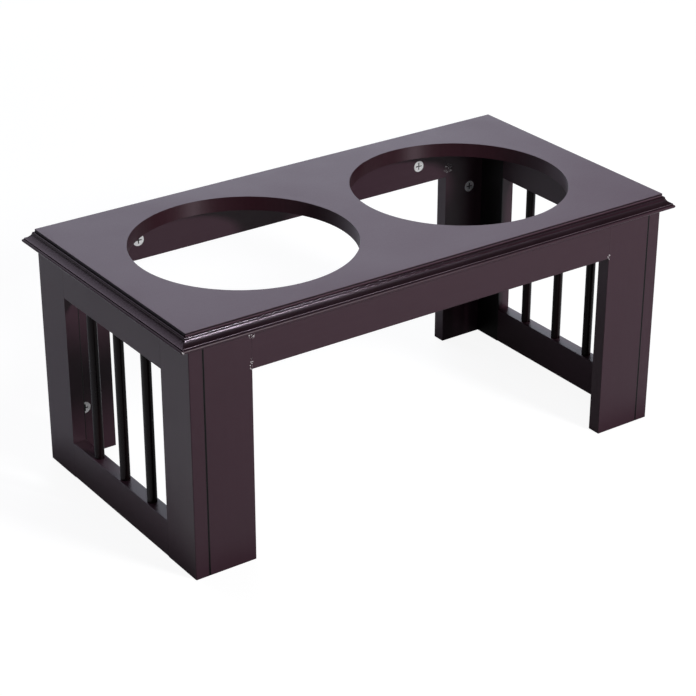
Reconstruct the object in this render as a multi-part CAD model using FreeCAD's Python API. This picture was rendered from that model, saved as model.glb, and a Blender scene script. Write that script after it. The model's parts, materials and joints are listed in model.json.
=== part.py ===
import FreeCAD, Part
import math
import os

# Elevated feeding stand for two drop-in bowls, made of painted boards joined by cam fittings.
# Millimetres. X runs along the length, Y from front to rear, Z up. Origin: floor, under the middle of the top.

Vec = FreeCAD.Vector

# Bowl cut-outs and the wood around them
bowl_hole_diameter = 224.5
bowl_web = 37.0            # wood between the two cut-outs
end_margin = 37.0          # from a cut-out to the outer face of a side frame
side_margin = 30.0         # from a cut-out to the front or rear face of the stand

# Stand
stand_height = 241.0       # floor to the underside of the top board
leg_width = 51.5
apron_height = 40.0
stile_width = 50.5
top_rail_height = 41.5
bottom_rail_height = 39.5

# Round slats in the side windows
slat_count = 3
slat_diameter = 10.0
slat_cover = 2.5           # rail wood left on each side of a slat
slat_seat = 8.0            # length of a slat inside each rail
slat_end_gap = 35.25       # from a stile to the nearest slat

# Top board and its edge moulding
top_thickness = 15.0
end_overhang = 12.0        # moulded nose past the side frames
front_overhang = 9.5       # moulded nose past the front and rear faces
moulding_reach = 10.0      # from the edge of the flat top out to the nose
ledge_reach = 0.8          # flat ledge at the foot of the top step
turn_reach = 0.475         # the cove turns out sharply under the bead, then runs on in a wider arc
turn_tilt = 30.0           # degrees from upright where the two arcs of the cove meet
step_share = 0.21          # heights of the moulding as shares of the board's thickness
bead_share = 0.095
turn_share = 0.09
lip_share = 0.087          # riser from the nose up to the cove's lip
nose_share = 0.233

# Eased long edges of the boards
edge_ease = 1.0            # edges that hands meet
groove_ease = 0.8          # the two edges that make the groove between a leg and a side frame
seam_ease = 0.3            # edges at glued seams

# Cam fittings: sizes of the nut and bolt are shares of the nut's bore
cam_bore = 13.0
cam_clearance = 0.1        # running gap between a nut and its bore
cam_floor = 3.95           # wood left between a nut and the outer face
cam_setback = 18.5         # from a board's edge to the axis of a nut
lower_cam_height = 54.0    # floor to the lower nut on a leg
upper_cam_drop = 58.0      # top of a leg down to its upper nut
apron_cam_inset = 38.0     # end of an apron to the nearest nut
cam_swing = 180.0          # degrees from locked to open
cam_depth_share = 0.85
cam_cap_share = 0.22
cam_rim_share = 0.025
cam_pocket_share = 0.383
cam_pocket_offset_share = 0.04
recess_length_share = 0.6
recess_width_share = 0.1
recess_depth_share = 0.13
head_radius_share = 0.21
head_end_share = 0.16      # from the nut's axis to the end of the bolt's head
head_seat_share = 0.25     # from the nut's axis to the head's shoulder
neck_start_share = 0.31    # from the nut's axis to the neck under the head
neck_radius_share = 0.12
shank_radius_share = 0.2
thread_root_share = 0.16
bolt_gap = 0.25            # room around a bolt's head, neck and shank
shoulder_gap = 0.5         # from a nut's bore to the shank
thread_turns = 5
bolt_cover = 4.0           # wood left past the end of a bolt or location dowel

# Wooden dowels
rail_dowel_diameter = 8.0
apron_dowel_diameter = 6.0
dowel_length = 30.0
location_seat = 20.0       # length of a location dowel in a board's edge
location_inset = 154.0     # end of an apron to its location dowel
dowel_room = 0.8           # hole left past the end of a dowel
dowel_chamfer = 0.7
dowel_shares = (0.25, 0.75)
fit_gap = 0.05             # around a dowel, slat or thread in its hole

overrun = 5.0              # how far a cutting shape runs past what it cuts

# Derived sizes
stand_length = 2 * bowl_hole_diameter + bowl_web + 2 * end_margin
stand_depth = bowl_hole_diameter + 2 * side_margin
side_thickness = slat_diameter + 2 * slat_cover
cam_depth = cam_bore * cam_depth_share
leg_thickness = cam_depth + cam_floor
face_seat = min(top_thickness, side_thickness) - bolt_cover
bolt_depth = leg_thickness / 2

half_length = stand_length / 2
half_depth = stand_depth / 2
side_inner = half_length - side_thickness
leg_inner = side_inner - leg_width
frame_inner = half_depth - leg_thickness
window_half = half_depth - stile_width
window_top = stand_height - top_rail_height
apron_bottom = stand_height - apron_height
upper_cam_height = stand_height - upper_cam_drop
bowl_x = (bowl_hole_diameter + bowl_web) / 2

origin = Vec(0, 0, 0)
right = Vec(1, 0, 0)
rearward = Vec(0, 1, 0)
upward = Vec(0, 0, 1)

nodes = {}


# Shared shapes

def eased_outline(low, high, eases):
    # Rectangle in the XY plane with a rounded corner of its own size at each corner, anticlockwise from low.
    corners = [Vec(low.x, low.y), Vec(high.x, low.y), Vec(high.x, high.y), Vec(low.x, high.y)]
    edges = []
    starts = []
    ends = []
    for index, corner in enumerate(corners):
        to_last = (corners[index - 1] - corner).normalize()
        to_next = (corners[(index + 1) % len(corners)] - corner).normalize()
        ease = eases[index]
        start = corner + to_last * ease
        end = corner + to_next * ease
        middle = corner + (to_last + to_next) * ease * (1 - math.sqrt(0.5))
        edges.append(Part.Arc(start, middle, end).toShape())
        starts.append(start)
        ends.append(end)
    for index in range(len(corners)):
        edges.append(Part.LineSegment(ends[index - 1], starts[index]).toShape())
    return Part.Face(Part.Wire(Part.__sortEdges__(edges)))


def board(along, u_span, v_span, w_span, eases):
    # Straight board along one axis. For z the section is in x and y, for x in y and z, for y in z and x.
    section = eased_outline(Vec(u_span[0], v_span[0]), Vec(u_span[1], v_span[1]), eases)
    solid = section.extrude(upward * (w_span[1] - w_span[0]))
    solid.translate(upward * w_span[0])
    third_turns = {"z": 0, "x": 1, "y": 2}[along]
    solid.rotate(origin, Vec(1, 1, 1), third_turns * 120)
    return solid


def rod(start, end, diameter, chamfer):
    # Round rod with chamfered ends.
    length = (end - start).Length
    radius = diameter / 2
    solid = Part.makeCylinder(radius, length, start, end - start)
    return solid.makeChamfer(chamfer, [edge for edge in solid.Edges if edge.Closed])


def drilling(start, end, diameter):
    return Part.makeCylinder(diameter / 2, (end - start).Length, start, end - start)


def mirrored(shape, x_side, y_side):
    # The front left shape, carried to another quarter of the stand.
    if x_side > 0:
        shape = shape.mirror(origin, right)
    if y_side > 0:
        shape = shape.mirror(origin, rearward)
    return shape


x_sides = {"left": -1, "right": 1}
y_sides = {"front": -1, "rear": 1}


# Cam fittings, in their own frame: the nut's axis is Z with its face at the origin, and the bolt lies along +X

cam_radius = cam_bore / 2 - cam_clearance
cam_length = cam_depth - cam_clearance
cap_thickness = cam_bore * cam_cap_share
pocket_radius = cam_bore * cam_pocket_share
pocket_offset = cam_bore * cam_pocket_offset_share
head_radius = cam_bore * head_radius_share
neck_radius = cam_bore * neck_radius_share
shank_radius = cam_bore * shank_radius_share
thread_root = cam_bore * thread_root_share


def cam_nut():
    # Drum with a solid cap, an off-centre pocket for the bolt's head, a slot that the neck runs in
    # as the nut turns, and a mouth where the head comes out when it is open.
    drum = Part.makeCylinder(cam_radius, cam_length, upward * -cam_length)
    rim = [edge for edge in drum.Edges if edge.Closed and edge.CenterOfMass.z > -cap_thickness]
    drum = drum.makeChamfer(cam_bore * cam_rim_share, rim)
    pocket_floor = Vec(-pocket_offset, 0, -cam_length - overrun)
    pocket = Part.makeCylinder(pocket_radius, cam_length + overrun - cap_thickness, pocket_floor)

    half_slot = neck_radius + bolt_gap
    spare_angle = math.degrees(math.asin(half_slot / (pocket_radius - pocket_offset)))
    slot_floor = upward * -(bolt_depth + half_slot)
    slot_angle = cam_swing + spare_angle
    slot = Part.makeCylinder(cam_radius + overrun, 2 * half_slot, slot_floor, upward, slot_angle)
    slot.rotate(origin, upward, -cam_swing)

    half_mouth = head_radius + bolt_gap
    mouth_length = cam_radius + overrun
    mouth_height = cam_length + overrun - bolt_depth + half_mouth
    mouth_corner = Vec(0, -half_mouth, -cam_length - overrun)
    mouth = Part.makeBox(mouth_length, 2 * half_mouth, mouth_height, mouth_corner)
    mouth.rotate(origin, upward, -cam_swing)

    recess_length = cam_bore * recess_length_share
    recess_width = cam_bore * recess_width_share
    recess_depth = cam_bore * recess_depth_share
    recess_corner = Vec(-recess_length / 2, -recess_width / 2, -recess_depth)
    recess = Part.makeBox(recess_length, recess_width, recess_depth + overrun, recess_corner)
    crossed = recess.copy()
    crossed.rotate(origin, upward, 90)
    return drum.cut([pocket, slot, mouth, recess, crossed])


def cam_bolt():
    # Turned bolt: head in the nut's pocket, neck through its slot, shank, then thread in the next board.
    shank_start = cam_bore / 2 + shoulder_gap
    turn_length = face_seat / thread_turns
    outline = [
        (cam_bore * head_end_share, 0),
        (cam_bore * head_end_share, head_radius),
        (cam_bore * head_seat_share, head_radius),
        (cam_bore * neck_start_share, neck_radius),
        (shank_start, neck_radius),
        (shank_start, shank_radius),
        (cam_setback, shank_radius),
        (cam_setback, thread_root),
    ]
    for turn in range(thread_turns):
        turn_start = cam_setback + turn * turn_length
        outline.append((turn_start + turn_length / 2, shank_radius))
        outline.append((turn_start + turn_length, thread_root))
    outline.append((cam_setback + face_seat, 0))
    outline.append(outline[0])
    wire = Part.makePolygon([Vec(along, out, 0) for along, out in outline])
    bolt = Part.Face(wire).revolve(origin, right)
    bolt.translate(upward * -bolt_depth)
    return bolt


def cam_drilling():
    # The nut's bore and the bolt's way to the board's edge.
    bore = drilling(upward * overrun, upward * -cam_depth, cam_bore)
    axis_start = upward * -bolt_depth
    edge = axis_start + right * (cam_setback + overrun)
    return bore.fuse(drilling(axis_start, edge, 2 * (shank_radius + bolt_gap)))


def thread_drilling():
    # Hole in the next board for the bolt's thread.
    edge = right * cam_setback + upward * -bolt_depth
    return drilling(edge, edge + right * (face_seat + fit_gap), 2 * (shank_radius + fit_gap))


def cam_place(position, face_normal, bolt_way):
    turn = FreeCAD.Rotation(bolt_way, face_normal.cross(bolt_way), face_normal, "ZXY")
    return FreeCAD.Placement(position, turn)


def placed(shape, place):
    return shape.transformed(place.toMatrix())


# Where each nut sits, which way its face looks and which way its bolt lies
cam_places = {}
for y_name, y_side in y_sides.items():
    face_normal = rearward * -y_side
    face_y = y_side * frame_inner
    for x_name, x_side in x_sides.items():
        leg_cam_x = x_side * (side_inner - cam_setback)
        lower_place = cam_place(Vec(leg_cam_x, face_y, lower_cam_height), face_normal, right * x_side)
        upper_place = cam_place(Vec(leg_cam_x, face_y, upper_cam_height), face_normal, right * x_side)
        apron_cam_x = x_side * (leg_inner - apron_cam_inset)
        apron_cam_z = stand_height - cam_setback
        apron_place = cam_place(Vec(apron_cam_x, face_y, apron_cam_z), face_normal, upward)
        cam_places[f"{y_name}_{x_name}_leg_lower_cam"] = lower_place
        cam_places[f"{y_name}_{x_name}_leg_upper_cam"] = upper_place
        cam_places[f"{y_name}_apron_{x_name}_cam"] = apron_place

bolt_groups = {"left_cam_bolts": [], "right_cam_bolts": [], "top_cam_bolts": []}
for name, place in cam_places.items():
    nodes[name] = placed(cam_nut(), place)
    group = "top_cam_bolts"
    if "leg" in name:
        group = "left_cam_bolts" if "left" in name else "right_cam_bolts"
    bolt_groups[group].append(placed(cam_bolt(), place))
for name, bolts in bolt_groups.items():
    nodes[name] = Part.makeCompound(bolts)

cam_drillings = [placed(cam_drilling(), place) for place in cam_places.values()]
thread_drillings = [placed(thread_drilling(), place) for place in cam_places.values()]


# Wooden dowels: each group has its pins, and the holes that they sit in

def dowel(start, end, diameter):
    way = (end - start).normalize()
    pin = rod(start, end, diameter, dowel_chamfer)
    hole = drilling(start - way * dowel_room, end + way * dowel_room, diameter + 2 * fit_gap)
    return pin, hole


dowel_groups = {}
half_dowel = dowel_length / 2
seam_y = half_depth - leg_thickness / 2
side_middle = side_inner + side_thickness / 2

for x_name, x_side in x_sides.items():
    pairs = []
    rail_spans = ((0, bottom_rail_height), (window_top, stand_height))
    for low, high in rail_spans:
        for share in dowel_shares:
            for y_side in y_sides.values():
                middle = Vec(x_side * side_middle, y_side * window_half, low + (high - low) * share)
                half = rearward * half_dowel
                pairs.append(dowel(middle - half, middle + half, rail_dowel_diameter))
    dowel_groups[f"{x_name}_rail_dowels"] = pairs

for y_name, y_side in y_sides.items():
    pairs = []
    for x_side in x_sides.values():
        for share in dowel_shares:
            height = apron_bottom + apron_height * share
            middle = Vec(x_side * leg_inner, y_side * seam_y, height)
            half = right * half_dowel
            pairs.append(dowel(middle - half, middle + half, apron_dowel_diameter))
    dowel_groups[f"{y_name}_apron_dowels"] = pairs

leg_pairs = []
top_pairs = []
location_face_seat = face_seat - dowel_room
location_height = (lower_cam_height + upper_cam_height) / 2
for y_side in y_sides.values():
    for x_side in x_sides.values():
        seam = Vec(x_side * side_inner, y_side * seam_y, location_height)
        inward = seam - right * (x_side * location_seat)
        outward = seam + right * (x_side * location_face_seat)
        leg_pairs.append(dowel(inward, outward, apron_dowel_diameter))
        seam = Vec(x_side * (leg_inner - location_inset), y_side * seam_y, stand_height)
        foot = seam - upward * location_seat
        tip = seam + upward * location_face_seat
        top_pairs.append(dowel(foot, tip, apron_dowel_diameter))
dowel_groups["leg_location_dowels"] = leg_pairs
dowel_groups["top_location_dowels"] = top_pairs

dowel_holes = []
for name, pairs in dowel_groups.items():
    nodes[name] = Part.makeCompound([pin for pin, hole in pairs])
    dowel_holes.extend(hole for pin, hole in pairs)


# Side frames: stiles, rails and round slats

window_width = 2 * window_half
slat_span = window_width - 2 * slat_end_gap - slat_diameter
slat_pitch = slat_span / (slat_count - 1)
slat_names = ("front", "middle", "rear")
slat_bottom = bottom_rail_height - slat_seat
slat_top = window_top + slat_seat

slat_seats = []
for x_name, x_side in x_sides.items():
    for index, slat_name in enumerate(slat_names):
        slat_y = -slat_span / 2 + index * slat_pitch
        foot = Vec(x_side * side_middle, slat_y, slat_bottom)
        tip = Vec(x_side * side_middle, slat_y, slat_top)
        nodes[f"{x_name}_{slat_name}_slat"] = rod(foot, tip, slat_diameter, dowel_chamfer)
        seat_diameter = slat_diameter + 2 * fit_gap
        slat_seats.append(drilling(foot - upward * dowel_room, tip + upward * dowel_room, seat_diameter))

stile_eases = (edge_ease, groove_ease, seam_ease, seam_ease)
stile = board("z", (-half_length, -side_inner), (-half_depth, -window_half), (0, stand_height), stile_eases)
bottom_rail_eases = (edge_ease, edge_ease, edge_ease, edge_ease)
bottom_rail = board("y", (0, bottom_rail_height), (-half_length, -side_inner),
                    (-window_half, window_half), bottom_rail_eases)
top_rail_eases = (edge_ease, seam_ease, seam_ease, edge_ease)
top_rail = board("y", (window_top, stand_height), (-half_length, -side_inner),
                 (-window_half, window_half), top_rail_eases)

side_cuts = thread_drillings + dowel_holes
for x_name, x_side in x_sides.items():
    nodes[f"{x_name}_bottom_rail"] = mirrored(bottom_rail, x_side, -1).cut(dowel_holes + slat_seats)
    nodes[f"{x_name}_top_rail"] = mirrored(top_rail, x_side, -1).cut(dowel_holes + slat_seats)
    for y_name, y_side in y_sides.items():
        nodes[f"{x_name}_{y_name}_stile"] = mirrored(stile, x_side, y_side).cut(side_cuts)


# Front and rear frames: legs and aprons

leg_eases = (groove_ease, seam_ease, seam_ease, seam_ease)
leg = board("z", (-side_inner, -leg_inner), (-half_depth, -frame_inner), (0, stand_height), leg_eases)
apron_eases = (edge_ease, edge_ease, seam_ease, seam_ease)
apron = board("x", (-half_depth, -frame_inner), (apron_bottom, stand_height),
              (-leg_inner, leg_inner), apron_eases)

frame_cuts = cam_drillings + dowel_holes
for y_name, y_side in y_sides.items():
    nodes[f"{y_name}_apron"] = mirrored(apron, -1, y_side).cut(frame_cuts)
    for x_name, x_side in x_sides.items():
        nodes[f"{y_name}_{x_name}_leg"] = mirrored(leg, x_side, y_side).cut(frame_cuts)


# Top board with its moulded edge

def leaving_arc(start, end, way):
    # Arc between two points that leaves the first one this way.
    chord = end - start
    aside = way - chord * (way.dot(chord) / chord.Length ** 2)
    rise = chord.Length / 2 * math.tan(way.getAngle(chord) / 2)
    return Part.Arc(start, (start + end) * 0.5 + aside.normalize() * rise, end)


def moulded_section(half_flat, length):
    # Section of the board from edge to edge, drawn in XZ under the flat top and run along +Y.
    step_drop = top_thickness * step_share
    bead_radius = top_thickness * bead_share
    nose_radius = top_thickness * nose_share / 2
    lip_height = top_thickness * lip_share
    nose_x = half_flat + moulding_reach - nose_radius
    round_share = math.sqrt(0.5)

    flat_edge = Vec(half_flat, 0, 0)
    step_foot = Vec(half_flat, 0, -step_drop)
    bead_start = Vec(half_flat + ledge_reach, 0, -step_drop)
    bead_middle = bead_start + Vec(bead_radius * round_share, 0, -bead_radius * (1 - round_share))
    bead_end = bead_start + Vec(bead_radius, 0, -bead_radius)
    nose_top = Vec(nose_x, 0, -top_thickness + 2 * nose_radius)
    lip = nose_top + upward * lip_height
    cove_turn = bead_end + Vec(turn_reach, 0, -top_thickness * turn_share)
    turn_way = Vec(math.sin(math.radians(turn_tilt)), 0, -math.cos(math.radians(turn_tilt)))
    nose_tip = Vec(nose_x + nose_radius, 0, -top_thickness + nose_radius)
    nose_foot = Vec(nose_x, 0, -top_thickness)

    edges = [
        Part.LineSegment(flat_edge, step_foot),
        Part.LineSegment(step_foot, bead_start),
        Part.Arc(bead_start, bead_middle, bead_end),
        leaving_arc(cove_turn, bead_end, turn_way * -1),
        leaving_arc(cove_turn, lip, turn_way),
        Part.LineSegment(lip, nose_top),
        Part.Arc(nose_top, nose_tip, nose_foot),
    ]
    right_side = [edge.toShape() for edge in edges]
    left_side = [edge.mirror(origin, right) for edge in right_side]
    flat = Part.LineSegment(flat_edge, Vec(-half_flat, 0, 0)).toShape()
    underside = Part.LineSegment(nose_foot, Vec(-nose_x, 0, -top_thickness)).toShape()
    outline = Part.Wire(Part.__sortEdges__(right_side + left_side + [flat, underside]))
    solid = Part.Face(outline).extrude(rearward * length)
    solid.translate(rearward * (-length / 2))
    return solid


nose_length = stand_length + 2 * end_overhang
nose_depth = stand_depth + 2 * front_overhang
end_runs = moulded_section(nose_length / 2 - moulding_reach, nose_depth + overrun)
long_runs = moulded_section(nose_depth / 2 - moulding_reach, nose_length + overrun)
long_runs.rotate(origin, upward, 90)

# The four runs of moulding meet in mitres, at half a right angle from each corner of the nose
mitre_meet = (nose_length - nose_depth) / 2
mitre_x = nose_length / 2 + overrun
mitre_y = nose_depth / 2 + overrun
end_plan = (Vec(mitre_meet, 0, 0), Vec(mitre_x, -mitre_y, 0), Vec(mitre_x, mitre_y, 0))
long_plan = (Vec(-mitre_meet, 0, 0), Vec(-mitre_x, -mitre_y, 0),
             Vec(mitre_x, -mitre_y, 0), Vec(mitre_meet, 0, 0))


def mitred(runs, plan):
    # Both halves of a pair of opposite runs, each trimmed to its plan.
    area = Part.Face(Part.makePolygon(plan + plan[:1])).extrude(upward * -(top_thickness + 2 * overrun))
    area.translate(upward * overrun)
    half = runs.common(area)
    other = half.copy()
    other.rotate(origin, upward, 180)
    return [half, other]


quarters = mitred(end_runs, end_plan) + mitred(long_runs, long_plan)
top = quarters[0].fuse(quarters[1:]).removeSplitter()
top.translate(upward * (stand_height + top_thickness))

bowl_holes = []
for x_side in x_sides.values():
    floor = Vec(x_side * bowl_x, 0, stand_height - overrun)
    bowl_holes.append(drilling(floor, floor + upward * (top_thickness + 2 * overrun), bowl_hole_diameter))
nodes["top_board"] = top.cut(bowl_holes + thread_drillings + dowel_holes)

os.makedirs("parts", exist_ok=True)
for name, shape in nodes.items():
    solids = shape.Solids
    Part.makeCompound(solids).exportStep(f"parts/{name}.step")
    print(name, len(solids), "solids", round(shape.Volume), "mm3", "valid" if shape.isValid() else "NOT VALID")
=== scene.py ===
import json
import math

import bmesh
import bpy
from mathutils import Matrix, Vector


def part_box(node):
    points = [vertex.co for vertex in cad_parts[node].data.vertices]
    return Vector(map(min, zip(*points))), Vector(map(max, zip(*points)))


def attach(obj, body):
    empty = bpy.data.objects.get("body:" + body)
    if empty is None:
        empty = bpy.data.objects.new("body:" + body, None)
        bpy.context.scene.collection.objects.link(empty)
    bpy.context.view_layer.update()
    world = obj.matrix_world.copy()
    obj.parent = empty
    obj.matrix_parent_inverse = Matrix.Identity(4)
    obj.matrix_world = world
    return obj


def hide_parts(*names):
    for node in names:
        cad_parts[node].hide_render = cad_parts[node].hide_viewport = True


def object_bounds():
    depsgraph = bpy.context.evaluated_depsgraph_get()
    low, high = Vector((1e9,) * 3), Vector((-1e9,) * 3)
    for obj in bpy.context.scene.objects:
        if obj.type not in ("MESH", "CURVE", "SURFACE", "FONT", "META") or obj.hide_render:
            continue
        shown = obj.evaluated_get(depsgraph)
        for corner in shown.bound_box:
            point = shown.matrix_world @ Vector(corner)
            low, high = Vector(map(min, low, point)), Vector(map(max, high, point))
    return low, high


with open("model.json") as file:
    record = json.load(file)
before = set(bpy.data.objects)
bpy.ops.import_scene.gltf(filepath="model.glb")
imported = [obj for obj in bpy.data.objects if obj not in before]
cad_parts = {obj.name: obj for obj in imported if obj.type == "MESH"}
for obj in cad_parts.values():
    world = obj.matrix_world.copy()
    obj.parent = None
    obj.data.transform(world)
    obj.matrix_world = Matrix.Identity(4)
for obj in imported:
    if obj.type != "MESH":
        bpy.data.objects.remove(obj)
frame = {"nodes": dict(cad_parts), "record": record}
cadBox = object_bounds()
nodes = frame["nodes"]
mounts = {mount["name"]: mount for mount in frame["record"]["mounts"]}
millimetre = 0.001


# Small helpers for meshes and node trees

def newPiece(name, mesh, body, replaced):
    piece = bpy.data.objects.new(name, mesh)
    bpy.context.scene.collection.objects.link(piece)
    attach(piece, body)
    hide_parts(*replaced)
    return piece


def addNode(tree, kind, links=None, values=None, **settings):
    # links: input name or number -> output socket; values: input name or number -> fixed value
    made = tree.nodes.new(kind)
    for key, setting in settings.items():
        setattr(made, key, setting)
    for key, value in (values or {}).items():
        made.inputs[key].default_value = value
    for key, source in (links or {}).items():
        tree.links.new(source, made.inputs[key])
    return made


def newGroup(name, inputs, outputs, kind="ShaderNodeTree"):
    # inputs: name -> (socket kind, default); outputs: name -> socket kind
    group = bpy.data.node_groups.new(name, kind)
    for key, (socketKind, default) in inputs.items():
        socket = group.interface.new_socket(key, in_out="INPUT", socket_type="NodeSocket" + socketKind)
        if default is not None:
            socket.default_value = default
    for key, socketKind in outputs.items():
        group.interface.new_socket(key, in_out="OUTPUT", socket_type="NodeSocket" + socketKind)
    return group, group.nodes.new("NodeGroupInput"), group.nodes.new("NodeGroupOutput")


def useGroup(tree, group, links=None, values=None):
    return addNode(tree, "ShaderNodeGroup", links, values, node_tree=group)


mixPlaces = {"FLOAT": (2, 3, 0), "RGBA": (6, 7, 2)}     # a Mix node's two inputs and its output


def mixed(tree, share, first, second, kind="FLOAT", blend="MIX"):
    # share, first and second: output sockets or fixed values
    firstInput, secondInput, output = mixPlaces[kind]
    links = {}
    values = {}
    for place, given in ((0, share), (firstInput, first), (secondInput, second)):
        if isinstance(given, bpy.types.NodeSocket):
            links[place] = given
        else:
            values[place] = given
    made = addNode(tree, "ShaderNodeMix", links, values, data_type=kind, blend_type=blend)
    return made.outputs[output]


def colourOver(tree, mask, under, over, blend="MIX"):
    # A fixed colour laid over another one where the mask is 1
    return mixed(tree, mask, under, (*over, 1.0), "RGBA", blend)


def newMaterial(name):
    material = bpy.data.materials.new(name)
    material.use_nodes = True
    tree = material.node_tree
    tree.nodes.clear()
    output = tree.nodes.new("ShaderNodeOutputMaterial")
    shader = tree.nodes.new("ShaderNodeBsdfPrincipled")
    tree.links.new(shader.outputs[0], output.inputs["Surface"])
    place = tree.nodes.new("ShaderNodeTexCoord").outputs["Object"]
    return material, tree, shader, place


# Shader groups shared by the finishes

def buildPaintFilm():
    # Sprayed satin paint: fine orange peel, and streaks of the board's grain under the film
    inputs = {
        "Place": ("Vector", None),
        "Grain Scale": ("Vector", (10.0, 300.0, 300.0)),
        "Peel Scale": ("Float", 900.0),
        "Grain Height": ("Float", 0.35),
    }
    outputs = {"Tone": "Float", "Gloss": "Float", "Height": "Float"}
    grainInTone = 0.4
    peelInGloss = 0.5
    group, given, result = newGroup("paintFilm", inputs, outputs)
    place = given.outputs["Place"]
    peel = addNode(group, "ShaderNodeTexNoise", {"Vector": place, "Scale": given.outputs["Peel Scale"]},
                   {"Detail": 2.0, "Roughness": 0.5})
    stretched = addNode(group, "ShaderNodeMapping",
                        {"Vector": place, "Scale": given.outputs["Grain Scale"]})
    grain = addNode(group, "ShaderNodeTexNoise", {"Vector": stretched.outputs[0]},
                    {"Scale": 1.0, "Detail": 3.0, "Roughness": 0.6})
    cloud = addNode(group, "ShaderNodeTexNoise", {"Vector": place},
                    {"Scale": 14.0, "Detail": 3.0, "Roughness": 0.55})
    ridges = addNode(group, "ShaderNodeMath",
                     {0: grain.outputs["Fac"], 1: given.outputs["Grain Height"], 2: peel.outputs["Fac"]},
                     operation="MULTIPLY_ADD")
    tone = mixed(group, grainInTone, cloud.outputs["Fac"], grain.outputs["Fac"])
    gloss = mixed(group, peelInGloss, cloud.outputs["Fac"], peel.outputs["Fac"])
    group.links.new(tone, result.inputs["Tone"])
    group.links.new(gloss, result.inputs["Gloss"])
    group.links.new(ridges.outputs[0], result.inputs["Height"])
    return group


def buildPaintChips():
    # Paint knocked off in flecks around one spot: 1 where the pale ground shows
    inputs = {
        "Place": ("Vector", None),
        "Spot": ("Vector", (0.0, 0.0, 0.0)),
        "Reach": ("Vector", (0.002, 0.002, 0.005)),
        "Fleck Scale": ("Float", 700.0),
    }
    crowding = 0.35    # how much denser the flecks lie at the spot
    group, given, result = newGroup("paintChips", inputs, {"Mask": "Float"})
    place = given.outputs["Place"]
    away = addNode(group, "ShaderNodeVectorMath", {0: place, 1: given.outputs["Spot"]},
                   operation="SUBTRACT")
    shares = addNode(group, "ShaderNodeVectorMath", {0: away.outputs[0], 1: given.outputs["Reach"]},
                     operation="DIVIDE")
    length = addNode(group, "ShaderNodeVectorMath", {0: shares.outputs[0]}, operation="LENGTH")
    near = addNode(group, "ShaderNodeMapRange", {"Value": length.outputs["Value"]},
                   {"From Min": 0.6, "From Max": 1.0, "To Min": 1.0, "To Max": 0.0})
    fleck = addNode(group, "ShaderNodeTexNoise", {"Vector": place, "Scale": given.outputs["Fleck Scale"]},
                    {"Detail": 2.0, "Roughness": 0.6})
    raised = addNode(group, "ShaderNodeMath", {0: near.outputs[0], 2: fleck.outputs["Fac"]},
                     {1: crowding}, operation="MULTIPLY_ADD")
    mask = addNode(group, "ShaderNodeMapRange", {"Value": raised.outputs[0]},
                   {"From Min": 0.90, "From Max": 0.94})
    group.links.new(mask.outputs[0], result.inputs["Mask"])
    return group


def buildJointLine():
    # The open groove where two upright boards meet, left and right alike: 1 in the groove
    inputs = {
        "Place": ("Vector", None),
        "Joint": ("Float", 0.265),
        "Half Width": ("Float", 0.0008),
    }
    group, given, result = newGroup("jointLine", inputs, {"Mask": "Float"})
    parts = addNode(group, "ShaderNodeSeparateXYZ", {0: given.outputs["Place"]})
    reach = addNode(group, "ShaderNodeMath", {0: parts.outputs["X"]}, operation="ABSOLUTE")
    away = addNode(group, "ShaderNodeMath", {0: reach.outputs[0], 1: given.outputs["Joint"]},
                   operation="SUBTRACT")
    off = addNode(group, "ShaderNodeMath", {0: away.outputs[0]}, operation="ABSOLUTE")
    share = addNode(group, "ShaderNodeMath", {0: off.outputs[0], 1: given.outputs["Half Width"]},
                    operation="DIVIDE")
    mask = addNode(group, "ShaderNodeMapRange", {"Value": share.outputs[0]},
                   {"From Min": 0.7, "From Max": 1.0, "To Min": 1.0, "To Max": 0.0})
    group.links.new(mask.outputs[0], result.inputs["Mask"])
    return group


def buildCastMetal():
    # Bright cast or drawn metal: mottled tone, fine scratches, slight pitting
    inputs = {
        "Place": ("Vector", None),
        "Mottle Scale": ("Float", 500.0),
        "Scratch Scale": ("Vector", (200.0, 200.0, 4000.0)),
    }
    outputs = {"Tone": "Float", "Gloss": "Float", "Height": "Float"}
    scratchInGloss = 0.6
    group, given, result = newGroup("castMetal", inputs, outputs)
    place = given.outputs["Place"]
    mottle = addNode(group, "ShaderNodeTexNoise", {"Vector": place, "Scale": given.outputs["Mottle Scale"]},
                     {"Detail": 3.0, "Roughness": 0.55})
    stretched = addNode(group, "ShaderNodeMapping",
                        {"Vector": place, "Scale": given.outputs["Scratch Scale"]})
    scratch = addNode(group, "ShaderNodeTexNoise", {"Vector": stretched.outputs[0]},
                      {"Scale": 1.0, "Detail": 2.0, "Roughness": 0.6})
    gloss = mixed(group, scratchInGloss, mottle.outputs["Fac"], scratch.outputs["Fac"])
    height = addNode(group, "ShaderNodeMath", {0: mottle.outputs["Fac"], 1: scratch.outputs["Fac"]},
                     operation="ADD")
    group.links.new(mottle.outputs["Fac"], result.inputs["Tone"])
    group.links.new(gloss, result.inputs["Gloss"])
    group.links.new(height.outputs[0], result.inputs["Height"])
    return group


paintFilm = buildPaintFilm()
paintChips = buildPaintChips()
jointLine = buildJointLine()
castMetal = buildCastMetal()


# Finishes

noiseSpread = {"From Min": 0.3, "From Max": 0.7}    # noise seldom leaves this range


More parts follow.
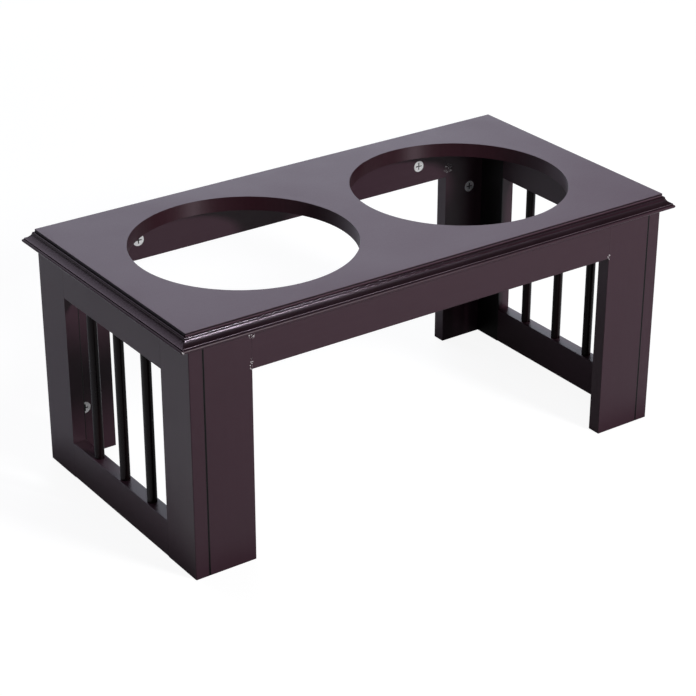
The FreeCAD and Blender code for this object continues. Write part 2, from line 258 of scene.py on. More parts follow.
def surface(material, tree, shader, detail, finish, colour):
    # Roughness and bump that follow a group's Gloss and Height, and the fixed sockets
    roughness = addNode(tree, "ShaderNodeMapRange", {"Value": detail.outputs["Gloss"]}, {
        **noiseSpread,
        "To Min": finish["roughness"][0],
        "To Max": finish["roughness"][1],
    })
    bump = addNode(tree, "ShaderNodeBump", {"Height": detail.outputs["Height"]}, {
        "Strength": finish["bumpStrength"],
        "Distance": finish["bumpDepth"],
    })
    tree.links.new(colour, shader.inputs["Base Color"])
    tree.links.new(roughness.outputs[0], shader.inputs["Roughness"])
    tree.links.new(bump.outputs[0], shader.inputs["Normal"])
    shader.inputs["IOR"].default_value = finish["ior"]
    shader.inputs["Specular Tint"].default_value = (*finish["sheen"], 1.0)
    return material


def toneColour(tree, tone, finish):
    spread = addNode(tree, "ShaderNodeMapRange", {"Value": tone}, noiseSpread)
    return colourOver(tree, spread.outputs[0], (*finish["darkColour"], 1.0), finish["paleColour"])


def paintMaterial(finish):
    material, tree, shader, place = newMaterial(finish["name"])
    film = useGroup(tree, paintFilm, {"Place": place}, {
        "Grain Scale": finish["grainScale"],
        "Peel Scale": finish["peelScale"],
        "Grain Height": finish["grainHeight"],
    })
    colour = toneColour(tree, film.outputs["Tone"], finish)
    for chip in finish["chips"]:
        flecks = useGroup(tree, paintChips, {"Place": place}, {
            "Spot": chip["spot"],
            "Reach": chip["reach"],
            "Fleck Scale": chip["fleckScale"],
        })
        colour = colourOver(tree, flecks.outputs["Mask"], colour, finish["groundColour"])
    if finish["joint"]:
        groove = useGroup(tree, jointLine, {"Place": place}, {
            "Joint": finish["joint"]["reach"],
            "Half Width": finish["joint"]["halfWidth"],
        })
        colour = colourOver(tree, groove.outputs["Mask"], colour, finish["joint"]["colour"])
    return surface(material, tree, shader, film, finish, colour)


def metalMaterial(finish):
    material, tree, shader, place = newMaterial(finish["name"])
    cast = useGroup(tree, castMetal, {"Place": place}, {
        "Mottle Scale": finish["mottleScale"],
        "Scratch Scale": finish["scratchScale"],
    })
    shader.inputs["Metallic"].default_value = finish["metallic"]
    colour = toneColour(tree, cast.outputs["Tone"], finish)
    if finish["recess"]:
        # deeper than the face, the driver slots and the rim's chamfer get a painted shade
        parts = addNode(tree, "ShaderNodeSeparateXYZ", {0: place})
        reach = addNode(tree, "ShaderNodeMath", {0: parts.outputs["Y"]}, operation="ABSOLUTE")
        depth = addNode(tree, "ShaderNodeMapRange", {"Value": reach.outputs[0]}, {
            "From Min": finish["recess"]["start"],
            "From Max": finish["recess"]["end"],
        })
        colour = colourOver(tree, depth.outputs[0], colour, finish["recess"]["colour"])
    return surface(material, tree, shader, cast, finish, colour)


alongX = (8.0, 260.0, 260.0)
alongY = (260.0, 8.0, 260.0)
alongZ = (260.0, 260.0, 8.0)
legLow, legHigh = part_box("front_right_leg")
apronLow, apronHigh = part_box("front_apron")
seamX, seamY, rearY = legLow.x, legLow.y, -legHigh.y
# paint chips at the joints between aprons and legs; reach is half a patch's size
chip = {"reach": (0.0055, 0.0016, 0.0055), "fleckScale": 700.0}
chipSpots = [
    # front left joint, upper and lower end
    {**chip, "spot": (-seamX, seamY, apronHigh.z - 0.006)},
    {**chip, "spot": (-seamX - 0.001, seamY, apronLow.z + 0.006), "reach": (0.003, 0.0016, 0.009)},
    # front right joint, lower end
    {**chip, "spot": (seamX, seamY, apronLow.z + 0.002), "reach": (0.003, 0.0018, 0.004)},
    # rear right joint, inner face
    {**chip, "spot": (seamX + 0.003, rearY, apronHigh.z - 0.030), "reach": (0.009, 0.0016, 0.008)},
]
boardJoint = {"reach": legHigh.x, "halfWidth": 0.0012, "colour": (0.001, 0.0005, 0.0008)}
framePaint = {
    "name": "framePaint",
    "darkColour": (0.046, 0.018, 0.029),
    "paleColour": (0.052, 0.021, 0.034),
    "groundColour": (0.95, 0.92, 0.93),
    "grainScale": alongZ,
    "peelScale": 900.0,
    "grainHeight": 0.3,
    "roughness": (0.36, 0.44),
    "bumpStrength": 0.1,
    "bumpDepth": 0.0002,
    "ior": 1.42,
    "sheen": (1.0, 1.0, 1.0),
    "chips": [],
    "joint": None,
}
legPaint = paintMaterial({**framePaint, "name": "legPaint", "chips": chipSpots, "joint": boardJoint})
apronPaint = paintMaterial({**framePaint, "name": "apronPaint", "grainScale": alongX, "chips": chipSpots})
stilePaint = paintMaterial({**framePaint, "name": "stilePaint", "joint": boardJoint})
railPaint = paintMaterial({**framePaint, "name": "railPaint", "grainScale": alongY})
slatPaint = paintMaterial({
    **framePaint,
    "name": "slatPaint",
    "darkColour": (0.006, 0.002, 0.003),
    "paleColour": (0.010, 0.004, 0.005),
    "roughness": (0.25, 0.32),
    "ior": 1.25,
})
topPaint = paintMaterial({
    **framePaint,
    "name": "topPaint",
    "darkColour": (0.064, 0.022, 0.042),
    "paleColour": (0.070, 0.026, 0.048),
    "grainScale": alongX,
    "roughness": (0.44, 0.52),
    "ior": 1.44,
    "sheen": (1.0, 0.94, 1.0),
})
beadPaint = {
    **framePaint,
    "darkColour": (0.026, 0.012, 0.017),
    "paleColour": (0.042, 0.020, 0.029),
    "peelScale": 1500.0,
    "grainHeight": 1.5,
    "roughness": (0.05, 0.12),
    "bumpStrength": 0.3,
    "bumpDepth": 0.0003,
    "ior": 1.7,
    "sheen": (1.0, 0.86, 1.06),
}
bandPaint = {**beadPaint, "ior": 1.40}
covePaint = {
    **beadPaint,
    "darkColour": (0.013, 0.006, 0.008),
    "paleColour": (0.023, 0.011, 0.015),
    "roughness": (0.3, 0.42),
    "bumpStrength": 0.25,
    "ior": 1.42,
}
# near-black painted shade for the step's upper wall, the ledge, the bead's shoulders and the groove over
# the nose
grooveShadePaint = {
    **covePaint,
    "darkColour": (0.006, 0.003, 0.004),
    "paleColour": (0.012, 0.006, 0.008),
    "roughness": (0.5, 0.6),
    "ior": 1.3,
}
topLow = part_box("top_board")[0]
noseChip = {
    **chip,
    "spot": (topLow.x + 0.001, topLow.y + 0.001, topLow.z + 0.002),
    "reach": (0.003, 0.003, 0.003),
}
nosePaint = {**framePaint, "bumpStrength": 0.2, "chips": [noseChip]}
# the lip is painted paler than the frame: a painted highlight along its rounded edge
lipHighlightPaint = {
    **beadPaint,
    "darkColour": (0.09, 0.055, 0.068),
    "paleColour": (0.15, 0.10, 0.12),
    "roughness": (0.25, 0.35),
    "ior": 1.75,
}
# paler paint along the foot of the step: a painted highlight
stepFootHighlightPaint = {
    **beadPaint,
    "darkColour": (0.075, 0.038, 0.052),
    "paleColour": (0.105, 0.055, 0.074),
    "bumpStrength": 0.15,
    "ior": 1.45,
}
# the end runs get darker copies of these paints with less gloss: the darker colour is painted shade, so
# their steps and beads are nearly black
shadedEndBead = {
    **beadPaint,
    "darkColour": (0.012, 0.003, 0.006),
    "paleColour": (0.020, 0.006, 0.011),
    "ior": 1.25,
    "sheen": (1.0, 0.6, 0.75),
}
shadedEndCove = {**shadedEndBead, "roughness": (0.2, 0.3), "ior": 1.33}
shadedEndNose = {
    **shadedEndCove,
    "darkColour": (0.030, 0.012, 0.019),
    "paleColour": (0.036, 0.015, 0.023),
    "ior": 1.3,
}
shadedEndLip = {**shadedEndCove, "ior": 1.7}
shadedEndGroove = {
    **grooveShadePaint,
    "darkColour": (0.002, 0.001, 0.0015),
    "paleColour": (0.004, 0.002, 0.003),
    "ior": 1.06,
}
edgeGrains = {"long": (350.0, 800.0, 800.0), "end": (800.0, 350.0, 800.0)}
edgeFinishes = {
    "long": {
        "Step": grooveShadePaint,
        "Foot": stepFootHighlightPaint,
        "Shoulder": grooveShadePaint,
        "Bead": beadPaint,
        "Band": bandPaint,
        "Cove": covePaint,
        "Lip": lipHighlightPaint,
        "Nose": nosePaint,
        "Groove": grooveShadePaint,
    },
    "end": {
        "Step": grooveShadePaint,
        "Foot": grooveShadePaint,
        "Shoulder": shadedEndBead,
        "Bead": shadedEndBead,
        "Band": shadedEndBead,
        "Cove": shadedEndCove,
        "Lip": shadedEndLip,
        "Nose": shadedEndNose,
        "Groove": shadedEndGroove,
    },
}
edgePaints = {}
for way, parts in edgeFinishes.items():
    edgePaints[way + "Rim"] = topPaint
    for part, paint in parts.items():
        name = way + part
        edgePaints[name] = paintMaterial({**paint, "name": name + "Paint", "grainScale": edgeGrains[way]})
wallPaint = paintMaterial({
    **framePaint,
    "name": "wallPaint",
    "darkColour": (0.027, 0.007, 0.011),
    "paleColour": (0.041, 0.011, 0.018),
    "grainScale": (420.0, 420.0, 6.0),
    "grainHeight": 1.2,
    "roughness": (0.45, 0.55),
    "bumpStrength": 0.25,
    "ior": 1.42,
    "sheen": (1.0, 0.85, 0.95),
})
wallBrush = 0.9


def brushUpright(paint, amount):
    # Tool marks round a cut-out spread the gloss up and down
    tree = paint.node_tree
    shader = next(node for node in tree.nodes if node.type == "BSDF_PRINCIPLED")
    shader.inputs["Anisotropic"].default_value = amount
    upright = addNode(tree, "ShaderNodeCombineXYZ", values={"Z": 1.0})
    tree.links.new(upright.outputs[0], shader.inputs["Tangent"])


brushUpright(wallPaint, wallBrush)
camFace = -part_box("front_apron_left_cam")[1].y
# the painted shade deeper than the cam's face: where it starts, where it is full, and its colour
camRecessShade = {
    "start": camFace + 0.05 * millimetre,
    "end": camFace + 0.4 * millimetre,
    "colour": (0.02, 0.018, 0.018),
}
camZinc = metalMaterial({
    "name": "camZinc",
    "darkColour": (0.95, 0.95, 0.96),
    "paleColour": (1.0, 1.0, 1.0),
    "metallic": 0.2,
    "recess": camRecessShade,
    "sheen": (1.0, 1.0, 1.0),
    "mottleScale": 650.0,
    "scratchScale": (900.0, 200.0, 900.0),
    "roughness": (0.3, 0.5),
    "bumpStrength": 0.15,
    "bumpDepth": 0.0002,
    "ior": 1.8,
})
boltSteel = metalMaterial({
    "name": "boltSteel",
    "metallic": 1.0,
    "sheen": (1.0, 1.0, 1.0),
    "recess": None,
    "darkColour": (0.52, 0.51, 0.49),
    "paleColour": (0.66, 0.65, 0.62),
    "mottleScale": 900.0,
    "scratchScale": (300.0, 300.0, 2500.0),
    "roughness": (0.28, 0.42),
    "bumpStrength": 0.1,
    "bumpDepth": 0.0001,
    "ior": 1.5,
})
dowelBeech = paintMaterial({
    **framePaint,
    "name": "dowelBeech",
    "darkColour": (0.44, 0.28, 0.15),
    "paleColour": (0.64, 0.46, 0.28),
    "grainScale": (700.0, 700.0, 700.0),
    "grainHeight": 0.8,
    "roughness": (0.5, 0.65),
    "bumpStrength": 0.3,
})

boardEase = {
    "width": 0.7 * millimetre,
    "segments": 2,
    "sharpAngle": 40.0,
    "weldReach": 0.001 * millimetre,
}


def evenNormals(piece):
    weighted = piece.modifiers.new("faceNormals", "WEIGHTED_NORMAL")
    weighted.keep_sharp = True


def easeEdges(piece, sizes):
    # Sanded arrises: the mesh stays as it is under the modifiers
    if sizes["weldReach"]:
        weld = piece.modifiers.new("weld", "WELD")
        weld.merge_threshold = sizes["weldReach"]
    ease = piece.modifiers.new("ease", "BEVEL")
    ease.width = sizes["width"]
    ease.segments = sizes["segments"]
    ease.limit_method = "ANGLE"
    ease.angle_limit = math.radians(sizes["sharpAngle"])
    evenNormals(piece)


finishes = {
    "_leg": legPaint,
    "_stile": stilePaint,
    "_rail": railPaint,
    "_apron": apronPaint,
    "_slat": slatPaint,
    "_cam": camZinc,
    "_bolts": boltSteel,
    "_dowels": dowelBeech,
    "top_board": topPaint,
}
for name, node in nodes.items():
    node.data.materials.clear()
    node.data.materials.append(next(paint for ending, paint in finishes.items() if name.endswith(ending)))
    if name.endswith(("_leg", "_stile", "_rail", "_apron")):
        easeEdges(node, boardEase)
print("finishes on", len(nodes), "nodes")


# Round slats of the side windows, two rows of three

slatNames = [f"{side}_{place}_slat" for side in ("left", "right") for place in ("front", "middle", "rear")]
slatRow = {
    "sides": 40,
    "endEase": {**boardEase, "width": 0.4 * millimetre, "weldReach": None},
}


def buildSlatTree():
    inputs = {
        "Count": ("Int", 3),
        "Spacing": ("Float", 0.05),
        "Radius": ("Float", 0.005),
        "Foot": ("Float", 0.0),
        "Length": ("Float", 0.2),
        "Side Reach": ("Float", 0.27),
        "Sides": ("Int", 32),
        "Paint": ("Material", None),
    }
    tree, given, result = newGroup("slatRows", inputs, {"Geometry": "Geometry"}, "GeometryNodeTree")

    def scaled(source, factor):
        return addNode(tree, "ShaderNodeMath", {0: source}, {1: factor}, operation="MULTIPLY").outputs[0]

    oneLess = addNode(tree, "ShaderNodeMath", {0: given.outputs["Count"]}, {1: 1.0}, operation="SUBTRACT")
    rowLength = addNode(tree, "ShaderNodeMath", {0: oneLess.outputs[0], 1: given.outputs["Spacing"]},
                        operation="MULTIPLY")
    first = addNode(tree, "ShaderNodeCombineXYZ",
                    {"Y": scaled(rowLength.outputs[0], -0.5), "Z": given.outputs["Foot"]})
    step = addNode(tree, "ShaderNodeCombineXYZ", {"Y": given.outputs["Spacing"]})
    row = addNode(tree, "GeometryNodeMeshLine", {
        "Count": given.outputs["Count"],
        "Start Location": first.outputs[0],
        "Offset": step.outputs[0],
    })
    top = addNode(tree, "ShaderNodeCombineXYZ", {"Z": given.outputs["Length"]})
    axis = addNode(tree, "GeometryNodeCurvePrimitiveLine", {"End": top.outputs[0]})
    section = addNode(tree, "GeometryNodeCurvePrimitiveCircle",
                      {"Resolution": given.outputs["Sides"], "Radius": given.outputs["Radius"]})
    rod = addNode(tree, "GeometryNodeCurveToMesh",
                  {"Curve": axis.outputs[0], "Profile Curve": section.outputs[0]}, {"Fill Caps": True})
    slats = addNode(tree, "GeometryNodeInstanceOnPoints",
                    {"Points": row.outputs[0], "Instance": rod.outputs[0]})
    leftEnd = addNode(tree, "ShaderNodeCombineXYZ", {"X": scaled(given.outputs["Side Reach"], -1.0)})
    across = addNode(tree, "ShaderNodeCombineXYZ", {"X": scaled(given.outputs["Side Reach"], 2.0)})
    ends = addNode(tree, "GeometryNodeMeshLine",
                   {"Start Location": leftEnd.outputs[0], "Offset": across.outputs[0]}, {"Count": 2})
    rows = addNode(tree, "GeometryNodeInstanceOnPoints",
                   {"Points": ends.outputs[0], "Instance": slats.outputs[0]})
    real = addNode(tree, "GeometryNodeRealizeInstances", {"Geometry": rows.outputs[0]})
    painted = addNode(tree, "GeometryNodeSetMaterial",
                      {"Geometry": real.outputs[0], "Material": given.outputs["Paint"]})
    tree.links.new(painted.outputs[0], result.inputs["Geometry"])
    return tree


def growMesh(name, tree, values):
    # Runs a node tree on an empty object and keeps its result as a plain mesh
    grower = bpy.data.objects.new(name, bpy.data.meshes.new(name + "Seed"))
    bpy.context.scene.collection.objects.link(grower)
    modifier = grower.modifiers.new(name, "NODES")
    modifier.node_group = tree
    for socket in tree.interface.items_tree:
        if socket.in_out == "INPUT" and socket.name in values:
            modifier[socket.identifier] = values[socket.name]
    made = bpy.data.meshes.new_from_object(grower.evaluated_get(bpy.context.evaluated_depsgraph_get()))
    made.name = name
    grower.modifiers.remove(modifier)
    bpy.data.objects.remove(grower)
    return made


def buildSlats(sizes):
    boxes = {name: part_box(name) for name in slatNames}
    middleLow, middleHigh = boxes["right_middle_slat"]
    rearLow, rearHigh = boxes["right_rear_slat"]
    mesh = growMesh("turnedSlats", buildSlatTree(), {
        "Count": len(slatNames) // 2,
        "Spacing": (rearLow.y + rearHigh.y - middleLow.y - middleHigh.y) / 2,
        "Radius": (middleHigh.y - middleLow.y) / 2,
        "Foot": middleLow.z,
        "Length": middleHigh.z - middleLow.z,
        "Side Reach": (middleLow.x + middleHigh.x) / 2,
        "Sides": sizes["sides"],
        "Paint": slatPaint,
    })
    slats = newPiece("turnedSlats", mesh, "stand", slatNames)
    for face in mesh.polygons:
        face.use_smooth = True
    easeEdges(slats, sizes["endEase"])
    print("slats:", len(mesh.polygons), "faces")


buildSlats(slatRow)


# Moulded top board with its two bowl cut-outs

topBoard = {
    "mouldingReach": 10.0 * millimetre,
    "ledgeReach": 0.8 * millimetre,
    "turnReach": 0.475 * millimetre,   # the cove turns sharply under the bead, then runs out in a wider arc
    "turnTilt": 30.0,
    "bandTilt": 34.0,                  # how far the gloss of the bead goes into the cove
    "stepShare": 0.21,
    "footShare": 0.095,                # the foot of the step is painted paler as a highlight, its upper part painted dark as shade
    "beadShare": 0.095,
    "turnShare": 0.09,
    "lipShare": 0.087,
    "noseShare": 0.233,
    "edgeEase": 0.3 * millimetre,
    "lipEase": 0.45 * millimetre,
    "rimEase": 0.2 * millimetre,
    "cornerRound": 0.5 * millimetre,
    "lipStart": 75.0,                  # angle at which the rounded lip takes over from the cove
    "noseStart": 75.0,                 # angle at which the nose comes out of the groove above it, whose painted shade reaches down the nose to here
    "smoothAngle": 50.0,
    "rimSteps": 96,
    "arcSteps": 8,
    "lipSteps": 4,
    "easeSteps": 3,
    "grooveSteps": 2,
    "cornerTurns": (0, 45, 90),
}
topPaints = {"flat": topPaint, "wall": wallPaint, **edgePaints}
topSlots = {part: number for number, part in enumerate(topPaints)}


def arcPoints(centre, radius, startAngle, endAngle, steps):
    points = []
    for step in range(steps + 1):
        angle = math.radians(startAngle + (endAngle - startAngle) * step / steps)
        points.append((centre[0] + radius[0] * math.cos(angle), centre[1] + radius[1] * math.sin(angle)))
    return points


def chordTilt(start, end):
    # Tilt from upright of the line between two points of the section
    return math.degrees(math.atan2(end[0] - start[0], start[1] - end[1]))


def coveArc(start, end, startTilt, steps):
    # Hollow arc between two points of the section, leaving the first at this tilt from upright
    turn = 2 * (chordTilt(start, end) - startTilt)
    chord = math.hypot(end[0] - start[0], start[1] - end[1])
    radius = chord / (2 * math.sin(math.radians(turn / 2)))
    leave = math.radians(startTilt)
    centre = (start[0] + radius * math.cos(leave), start[1] + radius * math.sin(leave))
    return arcPoints(centre, (radius, radius), 180 + startTilt, 180 + startTilt + turn, steps)


def mouldingProfile(sizes, thickness):
    # Runs from the flat top round to the underside: (reach from the flat's edge, height over the underside)
    ease = sizes["edgeEase"]
    lipEase = sizes["lipEase"]
    steps = sizes["arcSteps"]
    bead = thickness * sizes["beadShare"]
    nose = thickness * sizes["noseShare"] / 2
    stepFoot = thickness * (1 - sizes["stepShare"])
    footTop = stepFoot + thickness * sizes["footShare"]
    beadFoot = (sizes["ledgeReach"] + bead, stepFoot - bead)
    riser = sizes["mouldingReach"] - nose
    lip = (riser - lipEase, 2 * nose + thickness * sizes["lipShare"])
    lipCentre = (lip[0], lip[1] - lipEase)
    lipArc = arcPoints(lipCentre, (lipEase, lipEase), sizes["lipStart"], 0, sizes["lipSteps"])
    turn = (beadFoot[0] + sizes["turnReach"], beadFoot[1] - thickness * sizes["turnShare"])
    turnTilt = sizes["turnTilt"]
    beadArc = arcPoints((sizes["ledgeReach"], stepFoot - bead), (bead, bead), 90, 0, 2 * steps)
    turnArc = coveArc(beadFoot, turn, 2 * chordTilt(beadFoot, turn) - turnTilt, 2 * steps)
    wideArc = coveArc(turn, lipArc[0], turnTilt, 2 * steps)
    shoulder = steps // 2
    wideTurn = 2 * (chordTilt(turn, lipArc[0]) - turnTilt)
    band = round(2 * steps * (sizes["bandTilt"] - turnTilt) / wideTurn)
    noseCentre = (riser, nose)
    noseStart = sizes["noseStart"]
    return [
        ("Rim", arcPoints((-ease, thickness - ease), (ease, ease), 90, 0, sizes["easeSteps"])),
        # on the long runs, Step, Groove and Shoulder take the near-black painted shade, and Foot a painted
        # highlight
        ("Step", [(0.0, thickness - ease), (0.0, footTop)]),
        ("Foot", [(0.0, footTop), (0.0, stepFoot)]),
        ("Groove", [(0.0, stepFoot), (sizes["ledgeReach"], stepFoot)]),
        ("Shoulder", beadArc[:shoulder + 1]),
        ("Bead", beadArc[shoulder:-shoulder]),
        ("Shoulder", beadArc[-shoulder - 1:]),
        ("Shoulder", turnArc[:shoulder + 1]),
        ("Band", turnArc[shoulder:]),
        ("Band", wideArc[:band + 1]),
        ("Cove", wideArc[band:]),
        ("Lip", lipArc),
        ("Groove", [(riser, lip[1] - lipEase), (riser, 2 * nose)]),
        ("Groove", arcPoints(noseCentre, (nose, nose), 90, noseStart, sizes["grooveSteps"])),
        ("Nose", arcPoints(noseCentre, (nose, nose), noseStart, -90, 2 * steps)),
    ]


def buildTop(sizes):
    low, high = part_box("top_board")
    thickness = high.z - low.z
    flatX = high.x - sizes["mouldingReach"]
    flatY = high.y - sizes["mouldingReach"]
    corner = sizes["cornerRound"]
    hole = mounts["right_bowl_cutout"]
    holeX = hole["pos_m"][0]
    holeRadius = hole["dims"]["r_mm"] * millimetre
    rim = sizes["rimEase"]
    farOff = 9.0        # metres, for a ray that never meets that side
    weldDigits = 7

    # Stations round the edge: where each ray from a cut-out's middle meets it, seen from that cut-out
    stepAngle = 360.0 / sizes["rimSteps"]
    cornerAngles = []
    for x in (-holeX, flatX - holeX):
        for y in (-flatY, flatY):
            cornerAngles.append(math.degrees(math.atan2(y, x)) % 360)
    angles = [n * stepAngle for n in range(sizes["rimSteps"])]
    angles = [a for a in angles if all(abs(a - c) > stepAngle / 2 for c in cornerAngles)]
    angles = sorted(angles + cornerAngles)

    mesh = bmesh.new()
    spots = {}

    def vertexAt(x, y, z):
        key = tuple(round(value, weldDigits) for value in (x, y, z))
        if key not in spots:
            spots[key] = mesh.verts.new(key)
        return spots[key]

    def direction(angle):
        return math.cos(math.radians(angle)), math.sin(math.radians(angle))

    def rimVertex(side, angle, out, height):
        # On the ray at this angle, this far out from the cut-out's wall
        dx, dy = direction(angle)
        reach = holeRadius + out
        return vertexAt(side * (holeX + dx * reach), dy * reach, height)

    def edgePoint(side, angle, reach):
        # Points of the outline at this reach on the ray at this angle from the cut-out on this side
        dx, dy = direction(angle)
        if angle in cornerAngles:
            y = math.copysign(flatY + reach, dy)
            if dx < 0:
                return [(0.0, y)]
            middleX = side * (flatX + reach - corner)
            middleY = math.copysign(flatY + reach - corner, dy)
            cornerY = math.copysign(corner, dy)
            turns = sizes["cornerTurns"]
            points = []
            for turn in turns if dy > 0 else turns[::-1]:
                turnX, turnY = direction(turn)
                points.append((middleX + side * corner * turnX, middleY + cornerY * turnY))
            return points
        toEnd = (flatX - holeX) / dx if dx > 0 else -holeX / dx if dx < 0 else farOff
        toSide = flatY / abs(dy) if dy else farOff
        if toSide < toEnd:
            return [(side * (holeX + dx * toSide), math.copysign(flatY + reach, dy))]
        if dx > 0:
            return [(side * (flatX + reach), dy * toEnd)]
        return [(0.0, dy * toEnd)]

    def runOf(side, angle, reach):
        points = edgePoint(side, angle, reach)
        return points if side > 0 else points[::-1]

    def onMiddle(angle):
        return edgePoint(1, angle, 0.0)[0][0] == 0.0

    def face(vertices, slot):
        unique = list(dict.fromkeys(vertices))
        if len(unique) > 2:
            mesh.faces.new(unique).material_index = topSlots[slot]

    underReach = sizes["mouldingReach"] - thickness * sizes["noseShare"] / 2
    wall = arcPoints((rim, high.z - rim), (rim, rim), 90, 180, sizes["easeSteps"])
    wall += arcPoints((rim, low.z + rim), (rim, rim), 180, 270, sizes["easeSteps"])
    for side in (-1, 1):
        order = angles if side > 0 else angles[::-1]
        pairs = list(zip(order, order[1:] + order[:1]))
        # flat faces between the rim and the edge, above and below
        for height, reach, up in ((high.z, -sizes["edgeEase"], True), (low.z, underReach, False)):
            for first, second in pairs:
                ring = [rimVertex(side, angle, rim, height) for angle in (first, second)]
                edge = [vertexAt(x, y, height) for x, y in runOf(side, first, reach)]
                nextEdge = [vertexAt(x, y, height) for x, y in runOf(side, second, reach)]
                for a, b in zip(edge, edge[1:]):
                    face([ring[0], a, b] if up else [ring[0], b, a], "flat")
                quad = [ring[0], edge[-1], nextEdge[0], ring[1]]
                face(quad if up else quad[::-1], "flat")
        # moulding, run by run
        for part, run in mouldingProfile(sizes, thickness):
            for (reachA, heightA), (reachB, heightB) in zip(run, run[1:]):
                for first, second in pairs:
                    if onMiddle(first) and onMiddle(second):
                        continue
                    upper = runOf(side, first, reachA) + runOf(side, second, reachA)[:1]
                    lower = runOf(side, first, reachB) + runOf(side, second, reachB)[:1]
                    for n in range(len(upper) - 1):
                        isEnd = abs(upper[n][0] - upper[n + 1][0]) < abs(upper[n][1] - upper[n + 1][1])
                        face([
                            vertexAt(*upper[n], low.z + heightA),
                            vertexAt(*lower[n], low.z + heightB),
                            vertexAt(*lower[n + 1], low.z + heightB),
                            vertexAt(*upper[n + 1], low.z + heightA),
                        ], ("end" if isEnd else "long") + part)
        # cut-out wall with eased rims
        for (outA, heightA), (outB, heightB) in zip(wall, wall[1:]):
            for first, second in pairs:
                face([
                    rimVertex(side, first, outA, heightA),
                    rimVertex(side, second, outA, heightA),
                    rimVertex(side, second, outB, heightB),
                    rimVertex(side, first, outB, heightB),
                ], "wall")
    bmesh.ops.recalc_face_normals(mesh, faces=mesh.faces)
    smoothLimit = math.radians(sizes["smoothAngle"])
    for edge in mesh.edges:
        edge.smooth = not edge.is_manifold or edge.calc_face_angle(0.0) < smoothLimit
    for each in mesh.faces:
        each.smooth = True
    made = bpy.data.meshes.new("mouldedTop")
    mesh.to_mesh(made)
    openEdges = sum(1 for edge in mesh.edges if not edge.is_manifold)
    print("moulded top:", len(made.polygons), "faces,", openEdges, "open edges")
    mesh.free()
    for paint in topPaints.values():
        made.materials.append(paint)
    return made


top = newPiece("mouldedTop", buildTop(topBoard), "stand", ["top_board"])
evenNormals(top)


# Floor, light and camera

studio = {
    "floorSize": 12.0,
    "bounceColour": 0.12,       # what light meets on the floor
    "mirrorColour": 1.5,        # what reflections show of it
    "mirrorGlow": 0.05,
    "shadeColour": 0.36,        # the same under the stand, out to this reach round it: a painted shadow in what reflections show of the floor
    "shadeReach": 0.04,
    "frontShadeShare": 0.5,          # how much of both is left in front of the stand: painted shade in what reflections show there
    "frontShadeReach": 0.2,
    "shownColour": 0.2,         # what the camera sees of it, with the glow that makes it white
    "shownGlow": 0.91,
    "shownWorld": (1.0, 1.0, 1.0),
    "fillColour": (0.01, 0.01, 0.011),
    "softBoxes": {
        # way: towards its middle; spread: cosines between which it fades in
        "backWall": {"way": (0.16, 0.95, 0.24), "spread": (0.62, 0.9), "colour": (1.50, 1.54, 1.78)},
        "upperLeft": {"way": (-0.65, -0.2, 0.73), "spread": (0.6, 0.95), "colour": (0.16, 0.16, 0.17)},
    },
    "keyPlace": (0.6, -1.88, 1.22),
    "keyAim": (0.0, 0.0, 0.12),
    "keySize": 0.42,
    "keyPower": 33.0,
    "backPlace": (1.38, 2.14, 0.62),
    "backAim": (0.0, 0.0, 0.25),
    "backSize": 1.6,
    "backPower": 9.0,
    "backColour": (0.85, 0.9, 1.0),
}


def seenRays(tree):
    # 1 for camera and transmission rays, 0 for light and reflections
    path = tree.nodes.new("ShaderNodeLightPath")
    return addNode(tree, "ShaderNodeMath",
                   {0: path.outputs["Is Camera Ray"], 1: path.outputs["Is Transmission Ray"]},
                   operation="MAXIMUM").outputs[0]


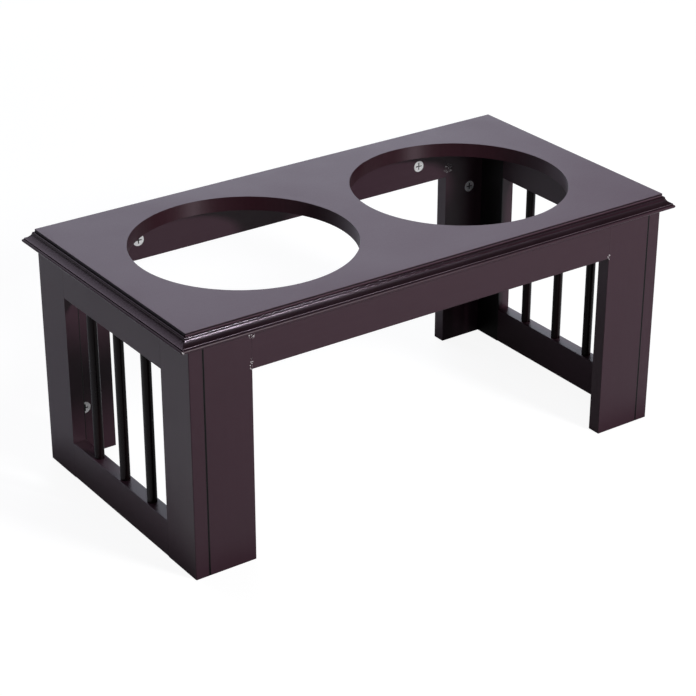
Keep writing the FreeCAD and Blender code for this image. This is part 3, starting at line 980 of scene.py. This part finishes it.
def buildFloor(sizes):
    mesh = bmesh.new()
    bmesh.ops.create_grid(mesh, x_segments=1, y_segments=1, size=sizes["floorSize"] / 2)
    made = bpy.data.meshes.new("floor")
    mesh.to_mesh(made)
    mesh.free()
    floor = bpy.data.objects.new("floor", made)
    bpy.context.scene.collection.objects.link(floor)
    material = bpy.data.materials.new("whiteFloor")
    material.use_nodes = True
    tree = material.node_tree
    tree.nodes.clear()
    output = tree.nodes.new("ShaderNodeOutputMaterial")
    seen = seenRays(tree)
    mirrored = tree.nodes.new("ShaderNodeLightPath").outputs["Is Glossy Ray"]
    place = tree.nodes.new("ShaderNodeTexCoord").outputs["Object"]
    # Reflections see the floor darker under and round the stand and dimmer in front of it: painted shade
    reach = addNode(tree, "ShaderNodeVectorMath", {0: place}, operation="ABSOLUTE")
    past = addNode(tree, "ShaderNodeVectorMath", {0: reach.outputs[0]}, {1: cadBox[1]},
                   operation="SUBTRACT")
    beyond = addNode(tree, "ShaderNodeVectorMath", {0: past.outputs[0]}, {1: (0.0, 0.0, 0.0)},
                     operation="MAXIMUM")
    away = addNode(tree, "ShaderNodeVectorMath", {0: beyond.outputs[0]}, operation="LENGTH")
    mirrorWithShade = addNode(tree, "ShaderNodeMapRange", {"Value": away.outputs["Value"]}, {
        "From Max": sizes["shadeReach"],
        "To Min": sizes["shadeColour"],
        "To Max": sizes["mirrorColour"],
    })
    depth = addNode(tree, "ShaderNodeSeparateXYZ", {0: place})
    front = addNode(tree, "ShaderNodeMapRange", {"Value": depth.outputs["Y"]}, {
        "From Min": cadBox[0].y - sizes["frontShadeReach"] / 2,
        "From Max": cadBox[0].y + sizes["frontShadeReach"] / 2,
        "To Min": sizes["frontShadeShare"],
        "To Max": 1.0,
    })
    shadedMirror = addNode(tree, "ShaderNodeMath", {0: mirrorWithShade.outputs[0], 1: front.outputs[0]},
                     operation="MULTIPLY")
    unseen = mixed(tree, mirrored, sizes["bounceColour"], shadedMirror.outputs[0])
    shade = mixed(tree, seen, unseen, sizes["shownColour"])
    matt = addNode(tree, "ShaderNodeBsdfDiffuse", {"Color": shade})
    shine = addNode(tree, "ShaderNodeMath", {0: mirrored}, {1: sizes["mirrorGlow"]}, operation="MULTIPLY")
    strength = mixed(tree, seen, shine.outputs[0], sizes["shownGlow"])
    glow = addNode(tree, "ShaderNodeEmission", {"Strength": strength}, {"Color": (1.0, 1.0, 1.0, 1.0)})
    both = addNode(tree, "ShaderNodeAddShader", {0: matt.outputs[0], 1: glow.outputs[0]})
    tree.links.new(both.outputs[0], output.inputs["Surface"])
    made.materials.append(material)


def buildWorld(sizes):
    world = bpy.data.worlds.new("studioWorld")
    bpy.context.scene.world = world
    world.use_nodes = True
    tree = world.node_tree
    tree.nodes.clear()
    output = tree.nodes.new("ShaderNodeOutputWorld")
    way = tree.nodes.new("ShaderNodeTexCoord").outputs["Generated"]
    soft = addNode(tree, "ShaderNodeRGB").outputs[0]
    soft.default_value = (*sizes["fillColour"], 1.0)
    for box in sizes["softBoxes"].values():
        facing = addNode(tree, "ShaderNodeVectorMath", {0: way}, {1: Vector(box["way"]).normalized()},
                         operation="DOT_PRODUCT")
        fade = addNode(tree, "ShaderNodeMapRange", {"Value": facing.outputs["Value"]},
                       {"From Min": box["spread"][0], "From Max": box["spread"][1]},
                       interpolation_type="SMOOTHSTEP")
        soft = colourOver(tree, fade.outputs[0], soft, box["colour"], "ADD")
    colour = colourOver(tree, seenRays(tree), soft, sizes["shownWorld"])
    background = addNode(tree, "ShaderNodeBackground", {"Color": colour}, {"Strength": 1.0})
    tree.links.new(background.outputs[0], output.inputs["Surface"])


def areaLight(sizes, name, colour=(1.0, 1.0, 1.0)):
    lamp = bpy.data.lights.new(name + "Light", "AREA")
    lamp.shape = "DISK"
    lamp.size = sizes[name + "Size"]
    lamp.energy = sizes[name + "Power"]
    lamp.color = colour
    light = bpy.data.objects.new(name + "Light", lamp)
    light.location = sizes[name + "Place"]
    light.visible_camera = False
    way = Vector(sizes[name + "Aim"]) - Vector(sizes[name + "Place"])
    light.rotation_euler = way.to_track_quat("-Z", "Y").to_euler()
    bpy.context.scene.collection.objects.link(light)


buildFloor(studio)
buildWorld(studio)
areaLight(studio, "key")
areaLight(studio, "back", studio["backColour"])
bpy.context.scene.view_settings.view_transform = "Standard"
print("studio: floor, world and two lamps")

photoCamera = {
    "azimuth": -35.0951,
    "elevation": 26.4675,
    "roll": 0.0486,
    "distance": 2.14228,
    "target": (-0.00933, -0.00187, 0.10707),
    "lens": 108.3145,
}


def buildCamera(sizes):
    azimuth = math.radians(sizes["azimuth"])
    elevation = math.radians(sizes["elevation"])
    back = Vector((math.sin(azimuth) * math.cos(elevation), -math.cos(azimuth) * math.cos(elevation),
                   math.sin(elevation)))
    lens = bpy.data.cameras.new("photoCamera")
    lens.lens = sizes["lens"]
    lens.clip_end = 100.0
    camera = bpy.data.objects.new("photoCamera", lens)
    bpy.context.scene.collection.objects.link(camera)
    turn = (-back).to_track_quat("-Z", "Y").to_matrix().to_4x4()
    place = Matrix.Translation(Vector(sizes["target"]) + back * sizes["distance"])
    camera.matrix_world = place @ turn @ Matrix.Rotation(math.radians(sizes["roll"]), 4, "Z")
    bpy.context.scene.camera = camera


buildCamera(photoCamera)
